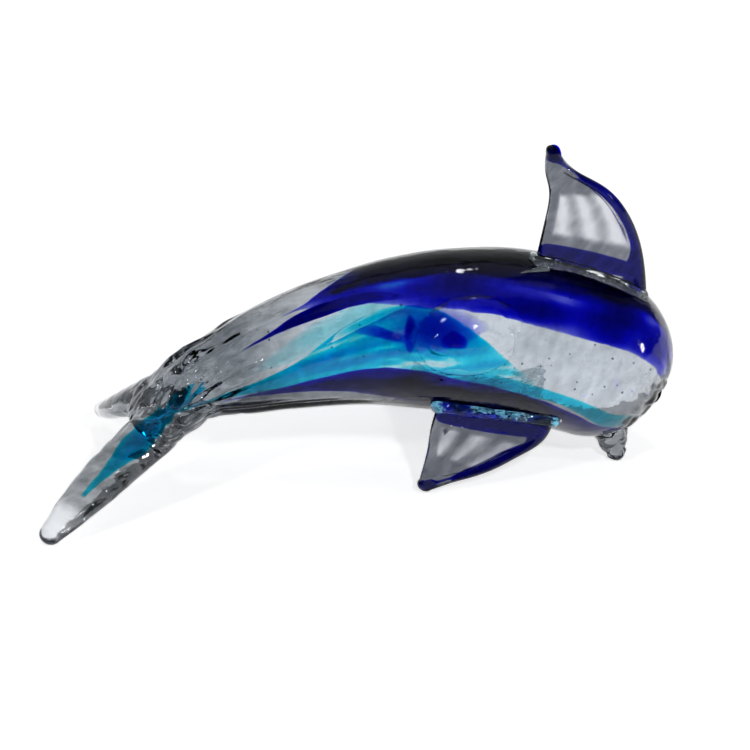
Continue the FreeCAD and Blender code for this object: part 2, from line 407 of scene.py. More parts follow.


# %% [markdown]
# ## The glasses of this figurine
# The casing, the flukes and the beak are the clearest. The blades get darker painted shade,
# the feet are wavy from being melted on, and the near flipper's foot has picked up navy.

# %% Mix the glasses
# painted shade: each clear glass's grey stands in for the darker surroundings it shows
crystal = clear_crystal("clear_crystal", (0.78, 0.80, 0.83), (0.15, 0.165, 0.18))
fin_crystal = clear_crystal("pressed_fin_crystal", (0.62, 0.63, 0.68), (0.12, 0.13, 0.155), wave=0.15)
melted_crystal = clear_crystal("melted_crystal", (0.92, 0.99, 1.0), (0.60, 0.72, 0.76),
                               wave=0.8, fine=0.5, clear=0.94)
navy_melt = clear_crystal("navy_melted_crystal", (0.20, 0.62, 0.85), (0.01, 0.03, 0.22),
                          wave=0.9, fine=0.6, clear=0.985)
cobalt = glass_in_glass("cobalt_glass", (0.0, 0.02, 0.90), 4000.0, (0.92, 0.94, 1.0))
turquoise = glass_in_glass("turquoise_glass", (0.0, 0.915, 0.978), 3000.0, (0.92, 0.98, 1.0))
smoky_core = glass_in_glass("smoky_core_glass", (0.80, 0.84, 0.88), 40.0, (0.94, 0.96, 0.98))
seam = fused_seam()
print("finishes:", [glass.name for glass in bpy.data.materials if glass.node_tree])

# %% [markdown]
# ## From a form to a piece
# A form becomes a mesh, rides on the one rigid body of the figurine, and stands for the
# nodes of the design that it shows in more detail. Forms that will fuse are kept by name.

# %% Put a form into the scene
pieces = {}
forms = {}


def make_piece(name, form, material, slot, *nodes, fuses=False, paint=None):
    """Adds a piece that rides on the one rigid body and stands for its CAD nodes."""
    points, faces = form
    mesh = bpy.data.meshes.new(name)
    mesh.from_pydata(((points + origin) * MM).tolist(), [], faces)
    mesh.polygons.foreach_set("use_smooth", [True] * len(faces))
    mesh.materials.append(material)
    for trait, values in (paint or {}).items():
        layer = mesh.attributes.new(trait, "FLOAT", "POINT")
        filled = np.resize(values, len(points))
        layer.data.foreach_set("value", filled.astype(np.float32))
    piece = bpy.data.objects.new(name, mesh)
    bpy.context.scene.collection.objects.link(piece)
    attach(piece, "root")
    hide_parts(*nodes)
    pieces[name] = piece
    if fuses:
        forms[name] = form
    return piece


def painted(rings, *extra):
    """Values for the points of a skin: those of its rings, its two end points and any more points."""
    flat = np.asarray(rings, float)
    return np.concatenate([flat.ravel(), [flat[0].mean(), flat[-1].mean()], *extra])


print("a painted stack of 3 rings by 4 points has", len(painted(np.zeros((3, 4)))), "values")

# %% [markdown]
# ## The casing
# The casing is the outer skin of clear crystal. Its tail is crumpled by pincers, its face
# is pinched, and a groove between melon and beak makes the mouth. It could be sculpted,
# but rings of points that are pushed by formulas can be changed at any time.

# %% Rings of the casing and the mouth
AROUND = 210


def body_rings():
    """Ring points of the casing before any handwork."""
    places = np.r_[np.linspace(body.first, 0, 10, endpoint=False),
                   np.linspace(0, body.axis_length, 190, endpoint=False),
                   np.linspace(body.axis_length, body.last, 44)]
    angles = np.linspace(0, 2 * np.pi, AROUND, endpoint=False)
    return places, angles, body.at(places[:, None], angles[None, :], 0.992)


def wrap(angles):
    """The same angles between -pi and pi."""
    return np.angle(np.exp(1j * angles))


def mouth_groove(places, angles):
    """Depth of the mouth crease: a short line round the right side of the snout."""
    run = (places - body.axis_length - 27.0) / 1.3
    sweep = np.degrees(wrap(angles - math.radians(-28)))
    return np.exp(-(run - sweep * 0.045) ** 2) * ramp(-np.abs(sweep), -46, -30)


print("rings and points round the casing:", body_rings()[2].shape[:2])

# %% [markdown]
# ## Creases
# Where the shears parted the flukes, creases fan out over the tail, and a few cross the
# face. Noise can't aim, so each crease is a line of places and angles, pressed in as a
# narrow valley that fades at both ends.

# %% Valleys along drawn lines
CREASES = [
    ((9, -12), (22, 30), (34, 62)),
    ((8, -10), (18, 14), (40, 34)),
    ((9, -14), (30, 4), (52, 22)),
    ((6, -4), (12, 40), (22, 78)),
    ((10, -16), (26, -20), (46, -24)),
    ((20, 62), (38, 70), (58, 74)),
    ((28, 48), (44, 56), (66, 52)),
    ((24, -34), (44, -38), (70, -42)),
    ((4, 30), (10, 60), (14, 96)),
    ((14, -30), (32, -30), (60, -33)),
    ((156, 8), (166, -8), (174, -26)),
    ((160, 18), (169, 6), (178, -4)),
    ((152, -2), (160, -16), (168, -36)),
    ((164, 24), (172, 22), (181, 24)),
]


def crease_depth(places, degrees):
    """Depth of the long creases: a fan from where the flukes were parted, and some across the face."""
    depth = np.zeros(np.broadcast(places, degrees).shape)
    for points in CREASES:
        line = curve([(a, b, 0.0) for a, b in points], 40)
        for k, (place, angle, _) in enumerate(line):
            ends = math.sin(math.pi * (k + 2) / 43) ** 0.5
            run = (places - place) / 1.7
            sweep = ((degrees - angle + 180) % 360 - 180) / 3.6
            depth = np.maximum(depth, ends * np.exp(-run ** 2 - sweep ** 2))
    return depth


print("creases:", len(CREASES))

# %% [markdown]
# ## The outer skin
# The marks add up to one push, measured along each ring's radius and never outwards, so
# the skin stays inside the design. A lump on the flank is the one place that may rise.

# %% The crumpled, creased skin
LUMP_PLACE, LUMP_ANGLE = 81.0, 36.0


def casing_form():
    """Form of the casing and the painted shade of its points."""
    places, angles, rings = body_rings()
    flat = rings.reshape(-1, 3)
    shape = rings.shape[:2]
    tail = ramp(-places, -52, -16)[:, None]
    face = ramp(places, 154, 170)[:, None] * np.exp(-(wrap(angles + 0.1) / 0.8) ** 4)[None, :]
    wrinkles = pincer_cells(flat * (1, 1, 0.6), 5.0, 21).reshape(shape)
    slow = slow_wave(flat, 16.0, 1).reshape(shape)
    round_about = (places[:, None] * 0.34, np.cos(angles) * 11, np.sin(angles) * 11)
    wrapped = np.stack(np.broadcast_arrays(*round_about), -1)
    folds = pincer_cells(wrapped.reshape(-1, 3), 6.4, 2).reshape(shape)
    cells = pincer_cells(flat, 9.5, 5).reshape(shape)
    push = -0.18 - 0.18 * slow - tail * (1.3 * (1 - folds) + 1.0 * tail * (1 - cells))
    push -= face * 1.4 * (1 - wrinkles)
    push -= 1.5 * mouth_groove(places[:, None], angles[None, :])
    push -= 1.1 * crease_depth(places[:, None], np.degrees(angles)[None, :])
    push = np.minimum(push, 0.0)
    lump_run = (places[:, None] - LUMP_PLACE) / 3.2
    lump_turn = (np.degrees(angles)[None, :] - LUMP_ANGLE) / 8.0
    push += 1.5 * np.exp(-lump_run ** 2 - lump_turn ** 2)
    window = ramp(places, 104, 118)[:, None] * np.exp(-((np.degrees(wrap(angles - 0.15)) / 34) ** 4))[None, :]
    # painted shade: greyer on the tail and on the crumpled face, a little paler in the window
    shade = 0.30 + 0.60 * ramp(-places, -64, -34)[:, None] - 0.05 * window + 0.8 * face
    return skin(ring_push(rings, push)), painted(shade + 0 * push)


casing_skin, casing_shade = casing_form()
print("casing faces:", len(casing_skin[1]))

# %% [markdown]
# ## Seeds
# Hand-gathered glass traps air. A seed is a tiny round hollow, so its faces look inwards.
# They could be painted as dots, but real hollows bend the colours behind them.

# %% Seeds of trapped air
def seed_bubble(centre, radius):
    """A small round hollow, faces inwards."""
    rows = [(*(centre + np.array([step * radius * 0.02, 0, 0])), radius, radius) for step in (-1, 0, 1)]
    points, faces = skin(pulled(rows, 3, 10, start=1.0, end=1.0))
    return points, [face[::-1] for face in faces]


def seed_bubbles(count, seed, places, angles, depths, radii):
    """Seeds scattered between two places, angles and depths."""
    draw = np.random.default_rng(seed)
    bubbles = []
    for _ in range(count):
        centre = body.at(draw.uniform(*places), math.radians(draw.uniform(*angles)), draw.uniform(*depths))
        bubbles.append(seed_bubble(centre, draw.uniform(*radii)))
    return bubbles


flank_seeds = seed_bubbles(60, 7, (40, 160), (-24, 120), (0.88, 0.945), (0.14, 0.40))
pad_seeds = seed_bubbles(34, 11, (93, 114), (22, 46), (0.94, 0.99), (0.35, 0.85))
window_seeds = seed_bubbles(14, 13, (120, 165), (-8, 28), (0.88, 0.95), (0.16, 0.36))
casing_glass = joined(casing_skin, *flank_seeds, *pad_seeds, *window_seeds)
casing_shade = np.r_[casing_shade, np.zeros(len(casing_glass[0]) - len(casing_shade))]
make_piece("clear_casing", casing_glass, crystal, "clear_crystal", "crystal_casing",
           fuses=True, paint={"shade": casing_shade})
print("seeds:", len(flank_seeds) + len(pad_seeds) + len(window_seeds))

# %% [markdown]
# ## Colour strips
# A strip of coloured glass spreads as the gather is rolled, so its section is a lens that
# thins to nothing at both edges. That thin edge is what gives cyan and royal blue their
# soft borders. Each strip is a tube in the body's own coordinates: length, angle, depth.

# %% A lens-shaped strip inside the body
def eased(places, at, values):
    """Values read off a track, with its corners rounded."""
    reach = max(2, len(places) // 9)
    plain = np.pad(np.interp(places, at, values), reach, mode="reflect", reflect_type="odd")
    return np.convolve(plain, np.ones(2 * reach + 1) / (2 * reach + 1), "valid")


def strip(track, count=110, around=36, fold=None):
    """Lens through (place, angle in degrees, half width in degrees, depth, half thickness)."""
    track = np.array(track, float)
    places = np.linspace(track[0, 0], track[-1, 0], count)
    middle, width, depth, thick = (eased(places, track[:, 0], track[:, k])[:, None] for k in (1, 2, 3, 4))
    fade = np.sqrt(np.clip(np.sin(np.linspace(0.02, math.pi - 0.02, count)), 0, 1))[:, None]
    turn = np.linspace(0, 2 * np.pi, around, endpoint=False)[None, :]
    degrees = middle + width * np.cos(turn) * fade ** 0.5
    if fold is not None:
        thick = thick * fold(places[:, None], degrees)
    level = depth + thick * np.sin(turn) * fade
    return skin(body.at(places[:, None], np.radians(degrees), level))


SHORT_TRACK = [(0, 0, 9, 0.8, 0.1), (9, 0, 9, 0.8, 0.1)]
print("a short strip has", len(strip(SHORT_TRACK, 30, 20)[1]), "faces")

# %% [markdown]
# ## How evenly a strip is rolled
# A strip rolled by hand is thick here and thin there. Thin cobalt glows royal blue and
# thick cobalt is nearly black, so the tone is made by thickness, as in the real glass.

# %% Thick and thin
def uneven(places, degrees, seed, low, high):
    """Thin and thick patches of a rolled strip, drawn out along the body."""
    places, degrees = np.broadcast_arrays(places, degrees)
    flat = np.stack([places * 0.45, degrees * 0.42, places * 0], -1).reshape(-1, 3)
    return low + (high - low) * (0.5 + 0.8 * slow_wave(flat, 7.0, seed)).reshape(places.shape).clip(0, 1)


def back_fold(places, degrees):
    """Cobalt is thin along the flank, where it glows, and heaped up along the back."""
    return uneven(places, degrees, 4, 0.10, 1.10) + 1.3 * ramp(degrees, 76, 96)


def loose_fold(places, degrees):
    """Patches of any thickness, as a strip gets when it is rolled by hand."""
    return uneven(places, degrees, 9, 0.35, 1.5)


def belly_fold(places, degrees):
    """Low on the flank the cobalt is heavy, with a few thin places."""
    return uneven(places, degrees, 12, 0.6, 2.6)


def flank_fold(places, degrees):
    """Turquoise is thin and bright low on the flank and thick and dark higher up."""
    high = ramp(degrees, 24, 52) * ramp(places, 50, 74)
    streaks = np.maximum(uneven(places * 0.5, degrees * 3.0 - places * 1.2, 6, -0.9, 1.9), 0.04)
    under_pad = ramp(places, 78, 90) * ramp(degrees, 4, 24)
    return streaks + 0.9 * ramp(-places, -54, -34) + 1.8 * high + 1.8 * under_pad


LOW_AND_HIGH = np.array([[50.0], [110.0]])
print("cobalt on the flank and on the back:", back_fold(np.array([120.0]), LOW_AND_HIGH).ravel().round(2))

# %% [markdown]
# ## The core
# The first gather in the middle is clear and only a little smoky. It has no surface of its
# own, because crystal was laid on crystal, so it is glass in glass too.

# %% The smoky core
CORE_DEPTH = 0.60
core_rings = body.at(np.linspace(6, body.last, 120)[:, None],
                     np.linspace(0, 2 * np.pi, 72, endpoint=False)[None, :], CORE_DEPTH)
make_piece("smoky_core", skin(core_rings), smoky_core, "clear_crystal", "clear_core")
print("core rings:", len(core_rings))

# %% [markdown]
# ## Cobalt
# The cobalt lies over the whole back and comes to a point near the tail. A swirl broke off
# it, a second strip lies low on the flank, and scraps of it lie round the pontil pad; the thin
# one on the pad's left rim is painted shade, for the dark line where the pad's edge bends the
# light. Each is a track of stations: place, angle, half width, depth and half thickness.

# %% The cobalt strips
COBALT_TRACK = [
    (50, 76, 3, 0.80, 0.060),
    (62, 80, 10, 0.80, 0.100),
    (72, 84, 22, 0.80, 0.100),
    (82, 97, 53, 0.79, 0.080),
    (98, 97, 53, 0.78, 0.090),
    (112, 96, 56, 0.78, 0.095),
    (127, 93, 62, 0.77, 0.100),
    (154, 93, 62, 0.76, 0.105),
    (164, 86, 66, 0.76, 0.100),
    (172, 78, 70, 0.76, 0.090),
    (179, 72, 74, 0.76, 0.070),
]
SWIRL_TRACK = [
    (36, 50, 2, 0.85, 0.05),
    (46, 57, 5, 0.85, 0.10),
    (55, 63, 6, 0.85, 0.13),
    (64, 66, 5, 0.85, 0.12),
    (76, 66, 7, 0.84, 0.08),
    (84, 60, 4, 0.84, 0.04),
]
BELLY_COBALT_TRACK = [
    (24, -12, 1.5, 0.79, 0.02),
    (36, -13, 3, 0.80, 0.03),
    (48, -14, 6, 0.80, 0.04),
    (62, -15, 12, 0.80, 0.06),
    (72, -19, 18, 0.80, 0.08),
    (81, -24, 24, 0.79, 0.10),
    (94, -33, 20, 0.79, 0.11),
    (110, -44, 22, 0.78, 0.11),
    (124, -48, 25, 0.78, 0.09),
    (140, -54, 27, 0.77, 0.05),
    (156, -60, 24, 0.77, 0.04),
    (172, -56, 14, 0.76, 0.02),
]
PAD_COBALT_TRACK = [
    (93.2, 20, 6, 0.91, 0.022),
    (97, 22, 7, 0.91, 0.032),
    (101, 19, 5, 0.91, 0.022),
]
PAD_SHADE_TRACK = [
    (84, 24, 4, 0.88, 0.003),
    (88, 27, 14, 0.88, 0.007),
    (94, 29, 17, 0.88, 0.008),
    (101, 30, 13, 0.88, 0.006),
    (107, 31, 4, 0.88, 0.003),
]
# painted shade: a thin dark strip along the pad's left rim, where its edge bends the light
PAD_RIM_SHADE_TRACK = [
    (82.2, 24, 5, 0.87, 0.010),
    (83.4, 25, 14, 0.87, 0.022),
    (84.8, 27, 16, 0.87, 0.020),
    (86.4, 30, 13, 0.87, 0.008),
]
DARK_PATCH_TRACK = [
    (69, 36, 4, 0.86, 0.010),
    (75, 33, 6, 0.86, 0.018),
    (80, 26, 5, 0.86, 0.018),
    (86, 22, 4, 0.86, 0.010),
]
cobalt_strips = joined(strip(COBALT_TRACK, 150, 72, back_fold), strip(SWIRL_TRACK, 60, 28, loose_fold),
                       strip(BELLY_COBALT_TRACK, 110, 32, belly_fold), strip(PAD_COBALT_TRACK, 30, 20),
                       strip(PAD_SHADE_TRACK, 60, 40, loose_fold), strip(PAD_RIM_SHADE_TRACK, 30, 40, loose_fold),
                       strip(DARK_PATCH_TRACK, 50, 28, loose_fold))
make_piece("cobalt_over_back", cobalt_strips, cobalt, "cobalt_glass", "cobalt_overlay")
print("cobalt faces:", len(cobalt_strips[1]))

# %% [markdown]
# ## Turquoise
# The turquoise starts as a thin streak at the tail, widens on the flank and runs on under
# the head as a bright band. A faint wash of it lies above the streak.

# %% The turquoise strips of the right flank
TAIL_STREAK_TRACK = [
    (6, 2, 3, 0.80, 0.05),
    (18, -1, 4, 0.80, 0.07),
    (32, -6, 5, 0.80, 0.07),
    (44, -2, 8, 0.80, 0.08),
    (54, 7, 15, 0.80, 0.09),
    (66, 18, 27, 0.80, 0.10),
    (76, 22, 33, 0.80, 0.10),
    (88, 22, 34, 0.80, 0.10),
    (97, 17, 29, 0.81, 0.10),
    (104, 9, 20, 0.82, 0.09),
    (110, 2, 12, 0.83, 0.06),
    (117, -5, 7, 0.84, 0.03),
    (124, -9, 3, 0.84, 0.02),
]
DIM_TEAL_TRACK = [
    (36, 20, 4, 0.86, 0.003),
    (48, 30, 12, 0.86, 0.006),
    (60, 42, 14, 0.86, 0.008),
    (72, 50, 12, 0.86, 0.010),
    (84, 52, 6, 0.86, 0.006),
]
CYAN_BAND_TRACK = [
    (80, -2, 4, 0.86, 0.02),
    (88, -2, 8, 0.86, 0.04),
    (96, -8, 9, 0.86, 0.05),
    (106, -12, 9, 0.86, 0.05),
    (116, -14, 7, 0.86, 0.04),
    (127, -17, 5, 0.86, 0.03),
    (141, -17, 4, 0.85, 0.025),
    (151, -26, 10, 0.84, 0.03),
    (162, -31, 11, 0.84, 0.03),
    (172, -30, 6, 0.84, 0.02),
]
right_strip = joined(strip(TAIL_STREAK_TRACK, 120, 48, flank_fold), strip(DIM_TEAL_TRACK, 70, 36, loose_fold),
                     strip(CYAN_BAND_TRACK, 90, 24))
make_piece("right_turquoise_strip", right_strip, turquoise, "aqua_glass", "right_aqua_stripe")
print("turquoise faces on the right:", len(right_strip[1]))

# %% [markdown]
# ## The far side's turquoise
# Nothing shows of the far flank but a gleam, so its strip is the plainest one.

# %% The turquoise strip of the left flank
LEFT_TRACK = [
    (70, 190, 5, 0.84, 0.02),
    (92, 188, 12, 0.85, 0.03),
    (120, 180, 14, 0.85, 0.03),
    (145, 160, 14, 0.86, 0.03),
    (160, 140, 14, 0.87, 0.03),
    (172, 124, 8, 0.87, 0.02),
]
make_piece("left_turquoise_strip", strip(LEFT_TRACK), turquoise, "aqua_glass", "left_aqua_stripe")
print("far strip runs from place", LEFT_TRACK[0][0], "to", LEFT_TRACK[-1][0])

# %% [markdown]
# ## The pontil pad
# The figurine was held on an iron by its right flank. The scar was fire polished and left
# a low oval dome. It is a flattened ball that sinks into the flank, so its rim blends.

# %% The fire-polished pad
PAD_TILT = math.radians(25.5)
PAD_NORMAL = np.array([0.0, -math.cos(PAD_TILT), math.sin(PAD_TILT)])
PAD_RISE = np.array([0.0, math.sin(PAD_TILT), math.cos(PAD_TILT)])
PAD_AXIS_POINT = np.array([26.8, 0.0, 44.0])
PAD_LENGTH, PAD_DEPTH, PAD_HEIGHT, PAD_TOP = 21.0, 8.0, 13.2, 28.1


def pad_form():
    """Flattened ball with faint rings from the iron."""
    turn = np.linspace(math.radians(-88), math.radians(88), 90)[:, None, None]
    angle = np.linspace(0, 2 * np.pi, 120, endpoint=False)[None, :, None]
    middle = PAD_AXIS_POINT + PAD_NORMAL * (PAD_TOP - PAD_DEPTH)
    flat = np.array([1.0, 0, 0]) * PAD_LENGTH * np.cos(angle) + PAD_RISE * PAD_HEIGHT * np.sin(angle)
    rings = middle + flat * np.cos(turn) + PAD_NORMAL * PAD_DEPTH * np.sin(turn)
    edge = np.cos(turn) + 0.05 * np.sin(3 * angle + 1) + 0.04 * np.sin(5 * angle)
    ring_mark = np.exp(-((edge - 0.60) / 0.035) ** 2) + 0.6 * np.exp(-((edge - 0.36) / 0.05) ** 2)
    dents = slow_wave(rings.reshape(-1, 3), 5.0, 17).reshape(rings.shape[:2] + (1,))
    ends = np.clip(np.abs(np.cos(angle)) * 1.6 - 0.8, 0, 1)
    return skin(rings - PAD_NORMAL * (0.45 * ring_mark * ends + 0.45 * (0.6 + dents)) * (np.sin(turn) > 0))


make_piece("pontil_pad_dome", pad_form(), crystal, "clear_crystal", "pontil_pad", fuses=True)
print("pad (mm):", 2 * PAD_LENGTH, "by", 2 * PAD_HEIGHT)

# %% [markdown]
# ## The beak
# The beak is a short nub pulled down and to the right out of the face, and ground flat
# where the figurine stands on it.

# %% The nub and its ground flat
def ground_flat(rings):
    """Grinds whatever reaches below the table flat."""
    rings[..., 2] = np.maximum(rings[..., 2], 0.02)
    return rings


BEAK_TIP = np.array([74.7, -12.0, 3.0])
beak_line = [HEAD_CENTRE + (BEAK_TIP - HEAD_CENTRE) * share for share in (0.42, 0.72, 1.0)]
beak_rows = [(*place, radius, radius) for place, radius in zip(beak_line, (9.0, 7.2, 3.7))]
beak_rings = pulled(beak_rows, 44, 44)
beak_marks = pincer_cells(beak_rings.reshape(-1, 3), 4.0, 9).reshape(beak_rings.shape[:2])
beak_form = skin(ground_flat(ring_push(beak_rings, -0.7 * (1 - beak_marks))))
# painted shade: the beak's grey is painted shade
make_piece("beak_nub", beak_form, crystal, "clear_crystal", "beak", fuses=True, paint={"shade": [0.8]})
print("beak length (mm):", round(float(np.linalg.norm(beak_line[-1] - beak_line[0])), 1))

# %% [markdown]
# ## How a fin meets the body
# A fin is pressed onto the hot body and bites, but a line stays visible all along the
# joint. Fusing the meshes would wipe that line out, so the points that would sink into
# the casing are laid on it instead, with a film of air between. A point is inside when a
# straight line out of it crosses the skin an odd number of times.

# %% Press a form against the casing
casing_tree = BVHTree.FromPolygons(casing_skin[0].tolist(), casing_skin[1])
SKEW = Vector((0.31, 0.74, 0.59)).normalized()


def lies_inside(tree, point):
    """True where a straight line out of the point crosses the skin an odd number of times."""
    start, crossings = Vector(point), 0
    hit, _, _, _ = tree.ray_cast(start, SKEW)
    while hit is not None and crossings < 40:
        crossings += 1
        hit, _, _, _ = tree.ray_cast(hit + SKEW * 0.001, SKEW)
    return crossings % 2 == 1


def hugging(form, film=0.04):
    """The same form, pressed onto the casing so that only a thin film of air is left between them."""
    points, faces = form
    points = points.copy()
    for i, point in enumerate(points):
        if lies_inside(casing_tree, point):
            nearest, normal, _, _ = casing_tree.find_nearest(point)
            points[i] = nearest + normal * film
    return points, faces

# %% [markdown]
# ## Outlines of the fins
# A fin is flat, so it is drawn in its own plane: a root line, a leading edge and a trailing
# edge, as distance along the body and height over the table. A placing function then stands
# it up, or lets it hang from its root line and lean outwards.

# %% Outlines and how a fin stands
DORSAL_ROOT = [(50.6, 66.8), (60.0, 64.2), (69.5, 60.0), (79.0, 54.8), (84.8, 51.0)]
DORSAL_LEADING = [(86.2, 51.2), (84.6, 66.0), (79.8, 80.4), (72.4, 90.2),
                  (63.4, 96.6), (59.6, 100.6), (57.4, 104.6)]
DORSAL_TRAILING = [(50.6, 66.8), (51.8, 73.0), (53.6, 82.0), (54.4, 91.5), (53.2, 97.5), (53.4, 104.0)]
FLIPPER_ROOT = [(16.2, 29.0), (30.0, 25.8), (53.0, 21.0)]
FLIPPER_LEADING = [(53.6, 22.0), (50.0, 14.4), (41.8, 9.4), (35.0, 6.2),
                   (27.0, 3.8), (18.6, 2.2), (13.6, 0.9)]
FLIPPER_TRAILING = [(16.2, 29.0), (13.8, 20.5), (12.8, 14.3), (11.2, 8.1), (10.2, 4.4)]
FLIPPER_REACH, FLIPPER_ROOT_HEIGHT = 19.6, 25.0


def upright(flat):
    """Dorsal fin points: along, height and thickness in the middle plane."""
    return np.stack([flat[..., 0], flat[..., 2], flat[..., 1]], -1)


def splayed(side, degrees):
    """Placing function of a flipper that hangs from its root line and leans outwards."""
    lean = math.radians(degrees)

    def place(flat):
        along, height, thick = flat[..., 0], flat[..., 1], flat[..., 2]
        reach = FLIPPER_REACH + (FLIPPER_ROOT_HEIGHT - height) * math.tan(lean) + thick * math.cos(lean)
        return np.stack([along, side * reach, height + thick * math.sin(lean)], -1)

    return place


print("dorsal tip stands at (mm):", upright(np.array([*DORSAL_LEADING[-1], 0.0])))

# %% [markdown]
# ## The pressed blade
# Each blade was squeezed in a ribbed press, so it has a thin, frosted panel with soft ribs
# between thicker edges, and a neck below its bead. Pale streaks along the ribs are painted
# highlights, and the grey of panel and edges is painted shade. It is skinned from flat loops
# that run between the trailing and the leading edge, thick or thin as the press left them.

# %% The pressed blade
BLADE_COUNT, BLADE_AROUND, RIBS = 96, 132, 3.5
BEAD_TURNS = (0.3, 0.55, 0.75, 0.9, 0.98)


def outline(points, count):
    """An edge of the outline as evenly spaced along and height values."""
    return curve([(x, z, 0.0) for x, z in points], count)[:, :2]


def blade_form(leading, trailing, place, grey, edge, root_frost):
    """Form and painted traits of a blade."""
    front = outline(leading, BLADE_COUNT)
    back = outline(trailing, BLADE_COUNT)
    up = np.linspace(0, 1, BLADE_COUNT)[:, None]
    turn = np.linspace(0, 2 * np.pi, BLADE_AROUND, endpoint=False)[None, :]
    share = (1 - np.cos(turn)) / 2
    chord = np.linalg.norm(front - back, axis=1)[:, None]
    inside = np.minimum(share, 1 - share) * chord
    panel = ramp(inside, 2.4, 5.0) * ramp(up, 0.16, 0.38) * ramp(-up, -0.72, -0.52)
    frosted_highlight_panel = ramp(inside, 2.6, 3.4) * ramp(up, 0.24, 0.29) * ramp(-up, -0.64, -0.58)
    ribs = 0.5 + 0.5 * np.cos(2 * np.pi * (RIBS * share + 0.25 * up + 0.25))
    neck = ramp(up, 0.80, 0.95)
    rod = np.exp(-(((1 - share) * chord - 2.2) / 1.9) ** 2)
    rod += 0.4 * np.exp(-((share * chord - 1.6) / 1.4) ** 2)
    half = 1.5 + 0.65 * rod * (1 - neck) + 0.75 * neck - panel * (0.25 + 0.60 * ribs)
    round_off = np.sqrt(np.clip(1 - np.abs(2 * share - 1) ** (2 + chord * 0.35), 0, 1))
    thick = np.sign(np.sin(turn)) * half * round_off
    along = back[:, None, :] + (front - back)[:, None, :] * share[..., None]
    rings = np.concatenate([along, thick[..., None]], -1)
    bead = np.zeros((len(BEAD_TURNS), BLADE_AROUND))
    frosted_highlight_rows, streak, low = (np.vstack([values * np.ones_like(panel), bead])
                         for values in (frosted_highlight_panel, ribs, ramp(-up, -0.16, -0.08)))
    # painted highlights and shade: pale streaks along the ribs inside the panel, set greys for panel and
    # edges
    paint = {"shade": painted(edge + (grey - edge - 0.70 * streak) * frosted_highlight_rows),
             "frost": painted(0.30 * frosted_highlight_rows + root_frost * low)}
    tip = rings[-1:]
    middle = tip.mean(1, keepdims=True)
    out = unit2(front[-1] - front[-6] + back[-1] - back[-6])
    for step in BEAD_TURNS:
        ring = middle + (tip - middle) * math.sqrt(1 - step * step)
        ring[..., :2] += out * 2.2 * step
        rings = np.concatenate([rings, ring])
    return skin(ground_flat(place(rings))), paint


def unit2(vector):
    """The same direction at length one."""
    return vector / np.linalg.norm(vector)


print("points on a blade:", (BLADE_COUNT + len(BEAD_TURNS)) * BLADE_AROUND + 2)

# %% [markdown]
# ## The cobalt thread
# A thread of cobalt was laid on the leading edge before pressing. It thins at the neck,
# ends in the bead, and is heaped up at the root, where a band of it crosses the blade.

# %% The cobalt thread
THREAD_COUNT = 60


def thread_form(leading, trailing, place, thin, bead, rooted):
    """Cobalt inside a fin: a rod in the leading edge and, where rooted, a lobe and a band over the foot."""
    front = outline(leading, THREAD_COUNT)
    back = outline(trailing, THREAD_COUNT)
    chord = np.linalg.norm(back - front, axis=1)[:, None]
    inwards = (back - front) / chord
    line = front + inwards * np.minimum(2.2, chord * 0.42)
    share = np.linspace(0, 1, THREAD_COUNT)
    lobe = rooted * np.exp(-((share - 0.10) / 0.11) ** 2)
    line = line + inwards * (2.2 * lobe)[:, None]
    start = 2 if rooted else 16
    neck = ramp(share, 0.76, 0.84) * ramp(-share, -0.96, -0.90)
    tip = ramp(share, 0.92, 0.97)
    wide = thin * (1 - 0.75 * neck) + 2.6 * lobe + (bead - thin) * tip
    rod = tube(line[start:], np.minimum(wide, 1.4 + 0.8 * tip)[start:], wide[start:], place)
    row = 7
    along = np.linspace(0.08, 0.90, 40)
    band_line = back[row] + (front[row] - back[row]) * along[:, None]
    band_wide = 2.0 + 4.4 * along * (1 - along)
    band = tube(band_line, np.full(40, 1.05), band_wide, place)
    return joined(rod, band) if rooted else rod


def tube(line, thick, wide, place, around=28):
    """Rod in the fin's own plane: half thickness and half width along a line."""
    way = np.gradient(line, axis=0)
    way /= np.linalg.norm(way, axis=1)[:, None]
    normal = np.stack([-way[:, 1], way[:, 0]], -1)
    turn = np.linspace(0, 2 * np.pi, around, endpoint=False)
    rings = []
    for i, cap in capped(len(line), 5):
        middle = line[i] + way[i] * math.sin(cap) * wide[i]
        flat = middle + normal[i] * (math.cos(cap) * wide[i] * np.cos(turn))[:, None]
        rings.append(np.column_stack([flat, math.cos(cap) * thick[i] * np.sin(turn)]))
    return skin(place(np.array(rings)))


print("stations along a thread:", THREAD_COUNT)

# %% [markdown]
# ## The melted foot
# The fin's foot melted into a low, lumpy flange with trapped air. It is a flattened rod
# along the root line, with noise pressed into it and seeds scattered through it.

# %% The melted foot
FOOT_COUNT, FOOT_SEEDS = 64, 40


